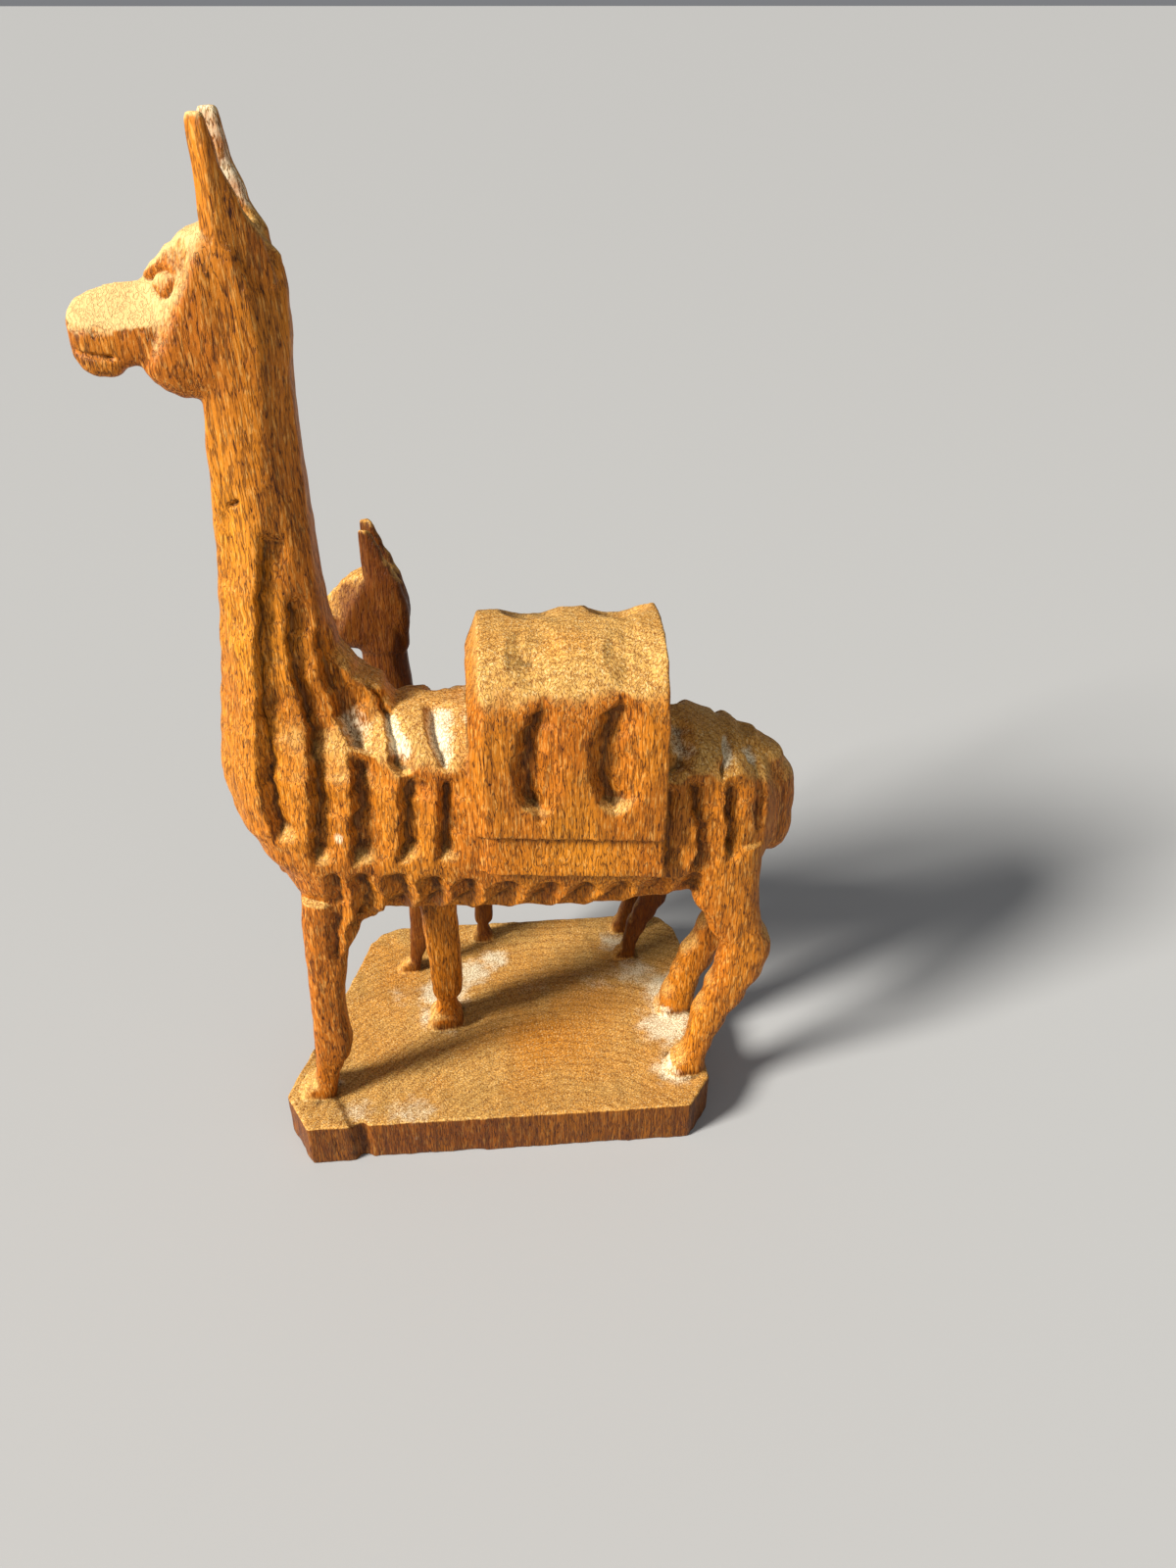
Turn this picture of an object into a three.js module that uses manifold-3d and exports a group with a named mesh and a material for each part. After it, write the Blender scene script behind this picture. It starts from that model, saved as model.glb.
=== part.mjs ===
// A standing llama with a pack on its back and a young llama beside it,
// carved with gouges from one upright-grained block together with the low base.
// Millimetres, +Z up, the animals face -X, origin at the centre of the underside.

import * as THREE from "three";
import { mergeVertices } from "three/addons/utils/BufferGeometryUtils.js";
import Module from "manifold-3d";

const wasm = await Module();
wasm.setup();

// Driving dimensions
const baseTop = 11;
const adultMiddle = -11.5;
const lengthCentre = 0.7;

// The young animal is the adult's form made smaller: its own middle, length, width and height
const young = {
  middle: 23.5,
  lengthScale: 0.655,
  widthScale: 0.5,
  heightScale: 0.6,
  forward: 4.6,
  leanFrom: 66,
  lean: 0.045,
  headFrom: 168,
  headCentre: [-37, 196],
  headGrowth: 1.14,
  sides: 14,
  rings: 9,
};

// Plan of the base, from the near left corner around
const basePlan = [
  [-44.7, -34], [41.6, -34], [47.2, -26], [46.8, -4], [48, 20.3], [47, 27.5], [43.4, 32.6], [38, 34],
  [-27, 34], [-31.5, 32.2], [-34.6, 28.8], [-39.2, 13.1], [-46.2, -10.6], [-50.4, -23.6],
];

// Trunk stations: x, top, bottom, half width
const trunk = {
  sides: 20,
  roundness: 2.6,
  stations: [
    [-44, 96, 69, 8], [-36, 103, 62.2, 12.5], [-26, 107, 60.2, 14.2], [-14, 108, 59.4, 14.8], [2, 107, 58.6, 15],
    [20, 105.2, 58, 15], [38, 102.2, 59.8, 14.6], [48, 99, 62.2, 13.6], [55, 94.2, 65.5, 11], [59.4, 88, 70, 6.6],
  ],
  rings: 11,
};

// Neck and shoulder stations: height, front x, back x, half width
const neck = {
  sides: 18,
  roundness: 2.5,
  stations: [
    [60, -39.6, -24, 11], [66, -41.4, -17, 13], [72, -43.6, -15, 14.2], [80, -48, -14.2, 14.8], [88, -51.4, -14.4, 14.8],
    [95, -52.4, -15, 14.2], [104, -51.4, -16, 13], [111, -50.2, -19, 11.6], [116, -49.3, -24, 10.4], [122, -48.4, -27, 9.5],
    [130, -47.2, -28.3, 8.6], [142, -45.7, -28.8, 7.8], [156, -44.4, -29, 7.2], [168, -43.4, -28.8, 6.9],
    [180, -43, -27.8, 6.7], [187, -41, -27.9, 6.2], [192.4, -39.2, -31.5, 5],
  ],
};

// Head stations: x, top, bottom, half width
const head = {
  sides: 14,
  roundness: 2.9,
  stations: [
    [-62.3, 178, 174.6, 3.2], [-61.2, 180.8, 171.8, 4.6], [-59, 182.6, 171, 5.1], [-56.4, 183.6, 170.6, 5.3],
    [-54.4, 184, 172, 5.3], [-51.8, 184.4, 172, 5.5], [-50.2, 185, 169.8, 5.8], [-47.6, 187, 168.2, 6.5],
    [-44.5, 189.6, 167, 6.8], [-41, 192, 166.4, 6.8], [-36, 192.4, 167, 6.4],
  ],
};

// Ear stations: height, front x, back x, distance of the outer face from the middle, thickness
const ear = {
  sides: 6,
  roundness: 3.2,
  stations: [
    [184, -38.6, -29.2, 6.5, 5.4], [190, -38.9, -30.2, 6.6, 5], [196, -38.8, -33, 6.7, 3.9],
    [202, -38.6, -34.8, 6.8, 3.1], [207.4, -38.4, -36, 6.9, 2.3], [208, -38, -36.4, 6.6, 1.7],
  ],
};

// Tail stations: height, front x, back x, half width
const tail = {
  sides: 10,
  roundness: 2.8,
  stations: [
    [69, 57, 61.4, 4.2], [71, 54, 62.8, 5], [78, 52, 63.7, 5.4], [85, 50, 63.4, 5.4], [91, 47, 60.6, 5], [97, 45, 54.6, 3.6],
  ],
};

// Leg stations: height, front x, back x, distance of the middle from the animal's middle, half thickness
const frontNearLeg = [
  [68, -40, -24, 9, 5], [60, -40.6, -28.6, 9.4, 4.4], [52, -41, -32, 9.7, 4.1], [34, -41.8, -34.3, 10, 3.7],
  [24, -42.4, -34.6, 10, 3.7], [20.5, -42.7, -36.4, 10, 3.2], [16.5, -43.4, -38, 10, 3.1],
  [13.4, -46.6, -38.8, 10.2, 3.7], [10, -48.2, -39.6, 10.2, 4],
];
const frontFarLeg = [
  [68, -24, -6, -9.5, 5], [60, -20.4, -8, -9.8, 4.6], [42, -17.6, -9.4, -10.3, 3.8], [26, -16.9, -9.4, -10.4, 3.7],
  [22, -16.8, -9.6, -10.4, 3.6], [18, -15.9, -11.4, -10.4, 2.9], [15.4, -16.4, -11, -10.4, 3.2],
  [13, -18, -10.2, -10.4, 3.9], [10, -18.6, -10, -10.4, 4.1],
];
const hindNearLeg = [
  [76, 38, 56, 7.2, 6.2], [64, 41, 56, 8.2, 5.4], [55, 45, 57, 9, 4.8], [48, 48.4, 59.4, 9.6, 4.2],
  [42, 47.6, 58.4, 9.9, 3.9], [35, 45.6, 55, 10, 3.7], [27, 43, 51, 10, 3.4], [20, 42.2, 48.4, 10, 3.2],
  [16, 41, 47, 10, 3.4], [13, 38.6, 46.8, 10, 3.8], [10, 37.4, 47, 10, 4],
];
const hindFarLeg = [
  [76, 36, 57, -7.5, 6.2], [64, 41, 58, -8.6, 5.6], [50, 48, 60.6, -10, 4.4], [42, 49.4, 59.6, -10.2, 4],
  [35, 47, 56, -10.4, 3.7], [27, 43.4, 51.8, -10.4, 3.5], [20, 41.4, 48.6, -10.4, 3.5],
  [14, 39.2, 47.4, -10.4, 4], [10, 37.6, 47.2, -10.4, 4.2],
];
const legSides = 8;
const legRoundness = 3;

const pack = {
  front: -3.6,
  back: 34.1,
  halfWidth: 17.6,
  crown: 123.4,
  spring: 103,
  roundness: 2.5,
  overhang: 86.6,
  bandHalfWidth: 16.6,
  bandBottom: 78.4,
  archSteps: 14,
  frontBevel: 2.6,
  frontShrink: 0.8,
};

// A superellipse point at an angle: a circle at roundness 2, squarer above it
function squircle(turn, roundness) {
  const power = 2 / roundness;
  const across = Math.cos(turn);
  const up = Math.sin(turn);
  return [
    Math.sign(across) * Math.abs(across) ** power,
    Math.sign(up) * Math.abs(up) ** power,
  ];
}

// Reads the columns of a station list at a position, with a smooth run between stations
function readStations(stations, position) {
  const last = stations.length - 1;
  const rising = stations[last][0] > stations[0][0] ? 1 : -1;
  let lower = 0;
  while (lower < last - 1 && (position - stations[lower + 1][0]) * rising > 0) lower += 1;
  const [before, start, end, after] = [-1, 0, 1, 2].map((step) => {
    return stations[THREE.MathUtils.clamp(lower + step, 0, last)];
  });
  const span = end[0] - start[0];
  const part = THREE.MathUtils.clamp((position - start[0]) / span, 0, 1);
  return start.map((value, column) => {
    const slope = end[column] - value;
    const slopeIn = (end[column] - before[column]) * span / (end[0] - before[0]);
    const slopeOut = (after[column] - value) * span / (after[0] - start[0]);
    const ease = part * part * (3 - 2 * part);
    const hold = part * (1 - part);
    return value + slope * ease + hold * ((1 - part) * slopeIn - part * slopeOut);
  });
}

// Evenly spaced positions over a station list
function spread(stations, count) {
  const first = stations[0][0];
  const last = stations[stations.length - 1][0];
  return Array.from({ length: count }, (_, i) => first + (last - first) * i / (count - 1));
}

// Closed skin over a row of rings with the same number of points each
function skin(rings) {
  const sides = rings[0].length;
  const positions = [];
  const index = [];
  rings.forEach((ring) => ring.forEach((point) => positions.push(point.x, point.y, point.z)));
  for (let level = 0; level < rings.length - 1; level += 1) {
    for (let side = 0; side < sides; side += 1) {
      const next = (side + 1) % sides;
      const a = level * sides + side;
      const b = level * sides + next;
      const c = a + sides;
      const d = b + sides;
      index.push(a, b, d, a, d, c);
    }
  }
  const top = (rings.length - 1) * sides;
  for (let side = 1; side < sides - 1; side += 1) {
    index.push(0, side + 1, side);
    index.push(top, top + side, top + side + 1);
  }
  const geometry = new THREE.BufferGeometry();
  geometry.setAttribute("position", new THREE.Float32BufferAttribute(positions, 3));
  geometry.setIndex(index);
  return geometry;
}

// Six times the signed volume, which is negative where the faces point inwards
function signedVolume(positions, triangles) {
  const corner = [new THREE.Vector3(), new THREE.Vector3(), new THREE.Vector3()];
  let total = 0;
  for (let i = 0; i < triangles.length; i += 3) {
    corner.forEach((point, k) => point.fromArray(positions, triangles[i + k] * 3));
    total += corner[0].dot(corner[1].cross(corner[2]));
  }
  return total;
}

// Turns a closed geometry into a solid with its faces pointing out
function solid(geometry) {
  geometry.deleteAttribute("normal");
  geometry.deleteAttribute("uv");
  const merged = mergeVertices(geometry, 1e-4);
  const vertProperties = Float32Array.from(merged.getAttribute("position").array);
  const triVerts = Uint32Array.from(merged.index.array);
  if (signedVolume(vertProperties, triVerts) < 0) {
    for (let i = 0; i < triVerts.length; i += 3) {
      [triVerts[i + 1], triVerts[i + 2]] = [triVerts[i + 2], triVerts[i + 1]];
    }
  }
  return new wasm.Manifold(new wasm.Mesh({ numProp: 3, vertProperties, triVerts }));
}

// Point on the trunk at x; turn 0 is the far flank, a quarter turn the back, a half turn the near flank
function trunkPoint(x, turn) {
  const [, top, bottom, halfWidth] = readStations(trunk.stations, x);
  const [across, up] = squircle(turn, trunk.roundness);
  const middle = (top + bottom) / 2;
  return new THREE.Vector3(x, adultMiddle + halfWidth * across, middle + (top - bottom) / 2 * up);
}

// Point on an upright form at a height; turn 0 is the front, a quarter turn the near side
function uprightPoint(form, height, turn) {
  const [, front, back, halfWidth] = readStations(form.stations, height);
  const [along, across] = squircle(turn, form.roundness);
  const middle = (front + back) / 2;
  return new THREE.Vector3(middle + (front - back) / 2 * along, adultMiddle - halfWidth * across, height);
}

function trunkForm(sides, rings) {
  return skin(spread(trunk.stations, rings).map((x) => {
    return Array.from({ length: sides }, (_, i) => trunkPoint(x, i * 2 * Math.PI / sides));
  }));
}

function uprightForm(form, sides, every = 1) {
  const heights = form.stations.map(([height]) => height).filter((_, i) => i % every === 0);
  return skin(heights.map((height) => {
    return Array.from({ length: sides }, (_, i) => uprightPoint(form, height, i * 2 * Math.PI / sides));
  }));
}

function headForm() {
  return skin(head.stations.map(([x, top, bottom, halfWidth]) => {
    return Array.from({ length: head.sides }, (_, i) => {
      const [across, up] = squircle((i + 0.5) * 2 * Math.PI / head.sides, head.roundness);
      return new THREE.Vector3(x, adultMiddle + halfWidth * across, (top + bottom) / 2 + (top - bottom) / 2 * up);
    });
  }));
}

function earForm(side) {
  return skin(ear.stations.map(([height, front, back, outer, thickness]) => {
    return Array.from({ length: ear.sides }, (_, i) => {
      const [along, across] = squircle((i + 0.5) * 2 * Math.PI / ear.sides, ear.roundness);
      const y = adultMiddle + side * (outer - thickness / 2) + thickness / 2 * across;
      return new THREE.Vector3((front + back) / 2 + (back - front) / 2 * along, y, height);
    });
  }));
}

function legForm(stations) {
  return skin(stations.map(([height, front, back, offset, halfThickness]) => {
    return Array.from({ length: legSides }, (_, i) => {
      const [along, across] = squircle((i + 0.5) * 2 * Math.PI / legSides, legRoundness);
      const x = (front + back) / 2 + (back - front) / 2 * along;
      return new THREE.Vector3(x, adultMiddle - offset + halfThickness * across, height);
    });
  }));
}

// A prism whose outline in a plane across X runs from the pack's front to its back, bevelled in front
function packPrism(outline) {
  const ringAt = (x, scale) => outline.map(([y, z]) => {
    return new THREE.Vector3(x, adultMiddle + y * scale, pack.bandBottom + (z - pack.bandBottom) * scale);
  });
  return skin([ringAt(pack.front, pack.frontShrink), ringAt(pack.front + pack.frontBevel, 1), ringAt(pack.back, 1)]);
}

function packForm() {
  const arch = Array.from({ length: pack.archSteps + 1 }, (_, i) => {
    const [across, up] = squircle(Math.PI * i / pack.archSteps, pack.roundness);
    return [pack.halfWidth * across, pack.spring + (pack.crown - pack.spring) * up];
  });
  const block = [[pack.halfWidth, pack.overhang], ...arch, [-pack.halfWidth, pack.overhang]];
  const band = [
    [pack.bandHalfWidth, pack.bandBottom], [pack.bandHalfWidth, pack.spring],
    [-pack.bandHalfWidth, pack.spring], [-pack.bandHalfWidth, pack.bandBottom],
  ];
  return solid(packPrism(block)).add(solid(packPrism(band)));
}

function baseForm() {
  const shape = new THREE.Shape(basePlan.map(([x, y]) => new THREE.Vector2(x, y)));
  return new THREE.ExtrudeGeometry(shape, { depth: baseTop, bevelEnabled: false });
}

// A gouge cut along a path of surface points: a shallow trough with rounded ends.
// The trough's floor is a parabola across, and its sides run on above the surface.
const troughSteps = [-1.25, -0.5, 0.5, 1.25];
const troughHeadroom = 3;

function gouge(path, outwards, width, depth, steps) {
  const curve = new THREE.CatmullRomCurve3(path);
  const rings = Array.from({ length: steps + 1 }, (_, i) => {
    const part = i / steps;
    const centre = curve.getPoint(part);
    const along = curve.getTangent(part);
    const out = new THREE.Vector3().lerpVectors(outwards[0], outwards[1], part);
    out.addScaledVector(along, -out.dot(along)).normalize();
    const across = new THREE.Vector3().crossVectors(along, out).normalize();
    const bite = 1 - Math.abs(2 * part - 1) ** 3;
    const half = width / 2 * (0.45 + 0.55 * Math.sqrt(bite));
    const lower = troughSteps.map((u) => {
      const height = depth * (u * u - 1) * bite + depth * 0.35 * (1 - bite);
      return centre.clone().addScaledVector(across, u * half).addScaledVector(out, height);
    });
    const roof = [1.25, -1.25].map((u) => {
      return centre.clone().addScaledVector(across, u * half).addScaledVector(out, troughHeadroom);
    });
    return [...lower, ...roof];
  });
  return solid(skin(rings));
}

function direction(turn, side) {
  return new THREE.Vector3(0, -side * Math.cos(turn), Math.sin(turn));
}

// A trough on the trunk between two turns above the level of the flank; side 1 is near, -1 is far
function trunkGouge(side, x, lean, from, to, width, depth, steps = 4) {
  const path = [0, 0.5, 1].map((part) => {
    const turn = THREE.MathUtils.degToRad(THREE.MathUtils.lerp(from, to, part));
    return trunkPoint(x + lean * part, side > 0 ? Math.PI - turn : turn);
  });
  const outwards = [from, to].map((turn) => direction(THREE.MathUtils.degToRad(turn), side));
  return gouge(path, outwards, width, depth, steps);
}

// A trough running down the neck and shoulder at a turn from the front
function neckGouge(side, turnHigh, turnLow, high, low, width, depth) {
  const path = [0, 0.33, 0.66, 1].map((part) => {
    const turn = THREE.MathUtils.degToRad(THREE.MathUtils.lerp(turnHigh, turnLow, part));
    return uprightPoint(neck, THREE.MathUtils.lerp(high, low, part), side * turn);
  });
  const outwards = [turnHigh, turnLow].map((degrees) => {
    const turn = THREE.MathUtils.degToRad(degrees);
    return new THREE.Vector3(-Math.cos(turn), -side * Math.sin(turn), 0);
  });
  return gouge(path, outwards, width, depth, 5);
}

// The four long troughs on one side of the neck and shoulder
function neckGouges(side) {
  return [
    neckGouge(side, 42, 43, 148, 80, 8.6, 1.5),
    neckGouge(side, 78, 77, 146, 74, 9.6, 1.8),
    neckGouge(side, 108, 106, 142, 75, 8.6, 1.8),
    neckGouge(side, 142, 134, 128, 88, 8, 1.6),
  ];
}

// A row of short slanting scoops under the flank
function bellyGouges(side, first, pitch, count) {
  return Array.from({ length: count }, (_, i) => trunkGouge(side, first + i * pitch, -2.6, -20, -62, pitch, 1.2, 3));
}

// Wool on the near side: two rows of troughs on the flank, one above the other, and the belly scoops
function woolGouges(side) {
  return [
    ...[-14.2, -6.6].map((x) => trunkGouge(side, x, -1, 80, 29, 8, 1.5)),
    ...[38.4, 45.6, 51.6].map((x) => trunkGouge(side, x, -0.5, 72, 32, 6.4, 1.3)),
    ...[-22, -14.4, -6.8].map((x) => trunkGouge(side, x, -0.6, 27, -15, 8, 1.6)),
    ...[37.4, 42.4, 47.4, 52.4].map((x) => trunkGouge(side, x, -0.4, 29, -18, 5.4, 1.3)),
    ...bellyGouges(side, -25, 6.3, 11),
    ...neckGouges(side),
  ];
}

// Wool on the sheltered side: one row of long troughs
function plainWoolGouges(side) {
  return [-22, -14.2, -6.4, 38.6, 45.6, 52.2].map((x) => trunkGouge(side, x, -1, 74, -18, 7.8, 1.5))
    .concat(bellyGouges(side, -22, 8.4, 8), neckGouges(side));
}

// A round or oval scoop: a squashed ball sunk into a face
function scoop(centre, halfSizes) {
  const ball = new THREE.SphereGeometry(1, 12, 8);
  ball.scale(...halfSizes);
  ball.translate(...centre);
  return solid(ball);
}

function packScoops(side) {
  const cuts = [];
  [10.4, 26.8].forEach((x) => {
    const face = adultMiddle - side * (pack.halfWidth + 1.8);
    cuts.push(scoop([x, face, 102.6], [6.2, 4.2, 13.4]));
    cuts.push(scoop([x - 0.4, adultMiddle - side * 12.6, pack.crown], [6, 6.4, 5.4]));
  });
  return cuts;
}

function cutAll(body, cuts) {
  return cuts.reduce((left, cut) => left.subtract(cut), body);
}

function joinAll(bodies) {
  return bodies.reduce((sum, body) => sum.add(body));
}

function adultForm() {
  const headAndEars = joinAll([solid(headForm()), solid(earForm(1)), solid(earForm(-1))]);
  const legs = [frontNearLeg, frontFarLeg, hindNearLeg, hindFarLeg].map((leg) => solid(legForm(leg)));
  const tailSolid = solid(uprightForm(tail, tail.sides));
  const trunkSolid = solid(trunkForm(trunk.sides, trunk.rings)).add(solid(uprightForm(neck, neck.sides)));
  const carved = cutAll(trunkSolid, [...woolGouges(1), ...plainWoolGouges(-1)]);
  const packSolid = cutAll(packForm(), [...packScoops(1), ...packScoops(-1)]);
  return joinAll([carved, headAndEars, tailSolid, ...legs, packSolid]);
}

// Carries a point of the adult's form to the young animal, whose neck leans and whose head is large
function toYoung(point) {
  const [headX, headZ] = young.headCentre;
  const grown = THREE.MathUtils.smoothstep(point.z, young.headFrom - 8, young.headFrom) * (young.headGrowth - 1);
  const x = point.x + (point.x - headX) * grown - Math.max(0, point.z - young.leanFrom) * young.lean;
  const z = point.z + (point.z - headZ) * grown;
  return new THREE.Vector3(
    young.forward + x * young.lengthScale,
    young.middle + (point.y - adultMiddle) * young.widthScale * (1 + grown),
    baseTop + (z - baseTop) * young.heightScale,
  );
}

function youngForm() {
  const plainTrunk = solid(trunkForm(young.sides, young.rings)).add(solid(uprightForm(neck, young.sides, 2)));
  const cuts = [1, -1].flatMap((side) => {
    return [-18, -7, 4, 15, 26, 37, 48].map((x) => trunkGouge(side, x, -1, 66, -30, 11, 2));
  });
  const carved = cutAll(plainTrunk, cuts);
  const legs = [frontNearLeg, frontFarLeg, hindNearLeg, hindFarLeg].map((leg) => solid(legForm(leg)));
  const tailSolid = solid(uprightForm(tail, young.sides / 2));
  const whole = joinAll([carved, solid(headForm()), solid(earForm(1)), solid(earForm(-1)), tailSolid, ...legs]);
  const geometry = geometryOf(whole);
  const positions = geometry.getAttribute("position");
  const point = new THREE.Vector3();
  for (let i = 0; i < positions.count; i += 1) {
    const placed = toYoung(point.fromBufferAttribute(positions, i));
    positions.setXYZ(i, placed.x, placed.y, placed.z);
  }
  return solid(geometry);
}

function geometryOf(body) {
  const mesh = body.getMesh();
  const geometry = new THREE.BufferGeometry();
  geometry.setAttribute("position", new THREE.BufferAttribute(mesh.vertProperties, 3));
  geometry.setIndex(new THREE.BufferAttribute(mesh.triVerts, 1));
  return geometry;
}

const wood = new THREE.MeshStandardMaterial({ color: 0xa9672b, roughness: 0.55, metalness: 0 });
const carving = new THREE.Mesh(geometryOf(joinAll([adultForm(), youngForm(), solid(baseForm())])), wood);
carving.name = "llama_group_carving";
carving.position.x = -lengthCentre;

const group = new THREE.Group();
group.add(carving);

export default group;
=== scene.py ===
# Llama with a pack and its young, carved from one block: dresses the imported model.
# Shapes are worked out in millimetres and put into the mesh in metres.
import bpy
import numpy as np
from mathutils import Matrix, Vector


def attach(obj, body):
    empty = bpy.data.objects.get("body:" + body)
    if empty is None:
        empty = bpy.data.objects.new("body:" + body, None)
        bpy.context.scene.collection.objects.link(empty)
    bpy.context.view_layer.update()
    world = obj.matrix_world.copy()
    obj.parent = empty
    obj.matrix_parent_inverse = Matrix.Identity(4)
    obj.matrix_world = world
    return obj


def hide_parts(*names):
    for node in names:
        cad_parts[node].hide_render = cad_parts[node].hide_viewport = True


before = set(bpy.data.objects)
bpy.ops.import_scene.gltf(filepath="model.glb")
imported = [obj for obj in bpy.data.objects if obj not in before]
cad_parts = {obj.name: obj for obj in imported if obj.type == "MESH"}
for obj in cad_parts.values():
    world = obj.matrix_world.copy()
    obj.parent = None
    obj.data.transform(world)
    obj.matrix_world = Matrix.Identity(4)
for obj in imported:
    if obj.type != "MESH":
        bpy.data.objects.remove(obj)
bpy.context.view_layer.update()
print("frame loaded")

millimetre = 0.001
lengthCentre = 0.7  # the carver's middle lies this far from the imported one
middle = -11.5  # the adult's middle plane in Y
baseTop = 11

def readStations(stations, places):
    # Columns of a table at given places: cubic runs whose slopes are the table's own
    table = np.array(sorted(stations, key=lambda row: row[0]), float)
    knots, values = table[:, 0], table[:, 1:]
    places = np.asarray(places, float)
    slopes = np.gradient(values, knots, axis=0)
    index = np.clip(np.searchsorted(knots, places) - 1, 0, len(knots) - 2)
    span = (knots[index + 1] - knots[index])[..., None]
    part = np.clip((places[..., None] - knots[index][..., None]) / span, 0, 1)
    ease = part * part * (3 - 2 * part)
    hold = part * (1 - part)
    start, end = values[index], values[index + 1]
    bend = (1 - part) * slopes[index] * span - part * slopes[index + 1] * span
    line = end - start
    return start + line * ease + hold * (bend - (1 - 2 * part) * line)


def squircle(turns, roundness):
    # Superellipse: cosine and sine to the power two over the roundness, signs kept
    power = 2 / np.asarray(roundness, float)
    across, up = np.cos(turns), np.sin(turns)
    return np.sign(across) * np.abs(across) ** power, np.sign(up) * np.abs(up) ** power


def smoothstep(low, high, value):
    part = np.clip((value - low) / (high - low), 0, 1)
    return part * part * (3 - 2 * part)


def skin(grid):
    # Closed skin of a grid of rings by sides: the grid's quads and a fan at each end
    rings, sides = grid.shape[:2]
    points = np.concatenate([grid.reshape(-1, 3), grid[0].mean(0)[None], grid[-1].mean(0)[None]])
    level, side = np.meshgrid(np.arange(rings - 1), np.arange(sides), indexing="ij")
    after = (side + 1) % sides
    a, b = level * sides + side, level * sides + after
    quads = np.stack([a, b, b + sides, a + sides], -1).reshape(-1, 4)
    around = np.arange(sides)
    following = (around + 1) % sides
    low, high = rings * sides, rings * sides + 1
    top = (rings - 1) * sides
    fans = np.concatenate([
        np.stack([np.full(sides, low), following, around], -1),
        np.stack([np.full(sides, high), top + around, top + following], -1),
    ])
    return points, quads.tolist() + fans.tolist()


trunk = {
    "roundness": 2.6,
    # x, top, bottom, half width
    "stations": [
        (-44, 96, 69, 8), (-36, 103, 62.2, 12.5), (-26, 107, 60.2, 14.2), (-14, 108, 59.4, 14.8),
        (2, 107, 58.6, 15), (20, 105.2, 58, 15), (38, 102.2, 59.8, 14.6), (48, 99, 62.2, 13.6),
        (55, 94.2, 65.5, 11), (59.4, 88, 70, 6.6),
    ],
}

neck = {
    # height, front x, back x, half width, roundness
    "stations": [
        (60, -39.6, -24, 11, 2.5), (66, -41.4, -17, 13, 2.5), (72, -43.6, -15, 14.2, 2.5),
        (80, -48, -14.2, 14.8, 2.5), (88, -51.4, -14.4, 14.8, 2.5), (95, -52.4, -15, 14.2, 2.5),
        (104, -51.4, -16, 13, 2.5), (111, -50.2, -19, 11.6, 2.5), (116, -49.3, -24, 10.4, 2.5),
        (122, -48.4, -27, 9.5, 2.6), (130, -47.2, -28.3, 8.6, 2.8), (142, -45.7, -28.8, 7.8, 3.1),
        (156, -44.4, -29, 7.2, 3.6), (168, -43.4, -28.8, 6.9, 4.2), (180, -43, -27.8, 6.9, 4.6),
        (187, -41, -27.9, 6.9, 4.6), (192.4, -39.2, -31.5, 6.2, 4.2),
    ],
    # facets pared off each side: the way they face, and height, x and distance from the middle where they start
    "facets": [
        ((0.72, 0.69), [(126, -28.9, 8.6), (140, -31, 6.2), (160, -31.6, 5.2), (180, -31, 5), (192, -33, 4.6)]),
        ((0.3, 0.95), [(100, -43, 14.2), (116, -41.8, 10.6), (131, -39.6, 8.7), (142, -37.7, 8), (152, -36.2, 7.6),
                       (165, -34.6, 7.2), (184, -32.8, 7.2), (192, -33, 6.6)]),
        ((-0.3, 0.95), [(100, -43.6, 14), (116, -42.2, 10.4), (131, -40, 8.6), (142, -38.1, 7.9), (152, -37, 7.6),
                        (165, -37, 7.4), (180, -37, 7.4), (192, -37, 7)]),
    ],
}

skull = {
    "roundness": 4.2,
    # x, top, bottom, half width
    "stations": [
        (-51.6, 184.6, 171.8, 5), (-51, 185, 170.8, 6), (-49.6, 186.2, 169.4, 6.6), (-48.2, 187.3, 168.2, 6.9),
        (-44.7, 190, 167, 7), (-41.9, 191.9, 166.4, 7), (-39.4, 192.8, 166.6, 7), (-36, 193.4, 167, 6.6),
    ],
    # facets pared off each side: a point (x, distance from the middle, z) and the way the facet faces
    "facets": [((-43.2, 6.9, 182.4), (-0.6, 0.73, 0.33))],
}

muzzle = {
    "roundness": 6,
    "stations": [
        (-62.5, 179.4, 175.6, 2.4), (-61.8, 181, 173.2, 3.8), (-60.4, 182.4, 171.6, 4.7), (-58, 183.5, 170.8, 5.2),
        (-55.6, 184.2, 170.8, 5.3), (-54, 184.6, 172, 5.3), (-51.8, 185, 172.2, 5.3), (-47, 186, 172.2, 5.3),
        (-42, 186.6, 172.4, 5),
    ],
    "facets": [((-54, 5.2, 178.2), (-0.05, 0.77, 0.64))],
}

ear = {
    # height, front x, back x, distance of the outer face from the middle, thickness
    "roundness": 4.5,
    "stations": [
        (184, -38.6, -28.8, 6.7, 5.4), (190, -38.9, -29.9, 6.8, 5), (196, -38.9, -32.6, 6.8, 4.1),
        (202, -38.7, -34.6, 6.8, 3.2), (207.2, -38.5, -35.5, 6.8, 2.5), (207.9, -38.3, -35.8, 6.7, 2.2),
    ],
    # facets that meet in a ridge down the outer face: x and distance from the middle, and the way each faces
    "facets": [((-36.2, 6.7), (-0.45, 0.89)), ((-36.2, 6.7), (0.38, 0.92))],
}

tail = {
    "roundness": 2.8,
    "stations": [
        (68.8, 56.6, 61, 4), (71, 54, 62.8, 5), (78, 52, 63.6, 5.4), (85, 50, 63.4, 5.4), (91, 47, 60.6, 5), (97, 45, 54.6, 3.6),
    ],
}

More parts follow.
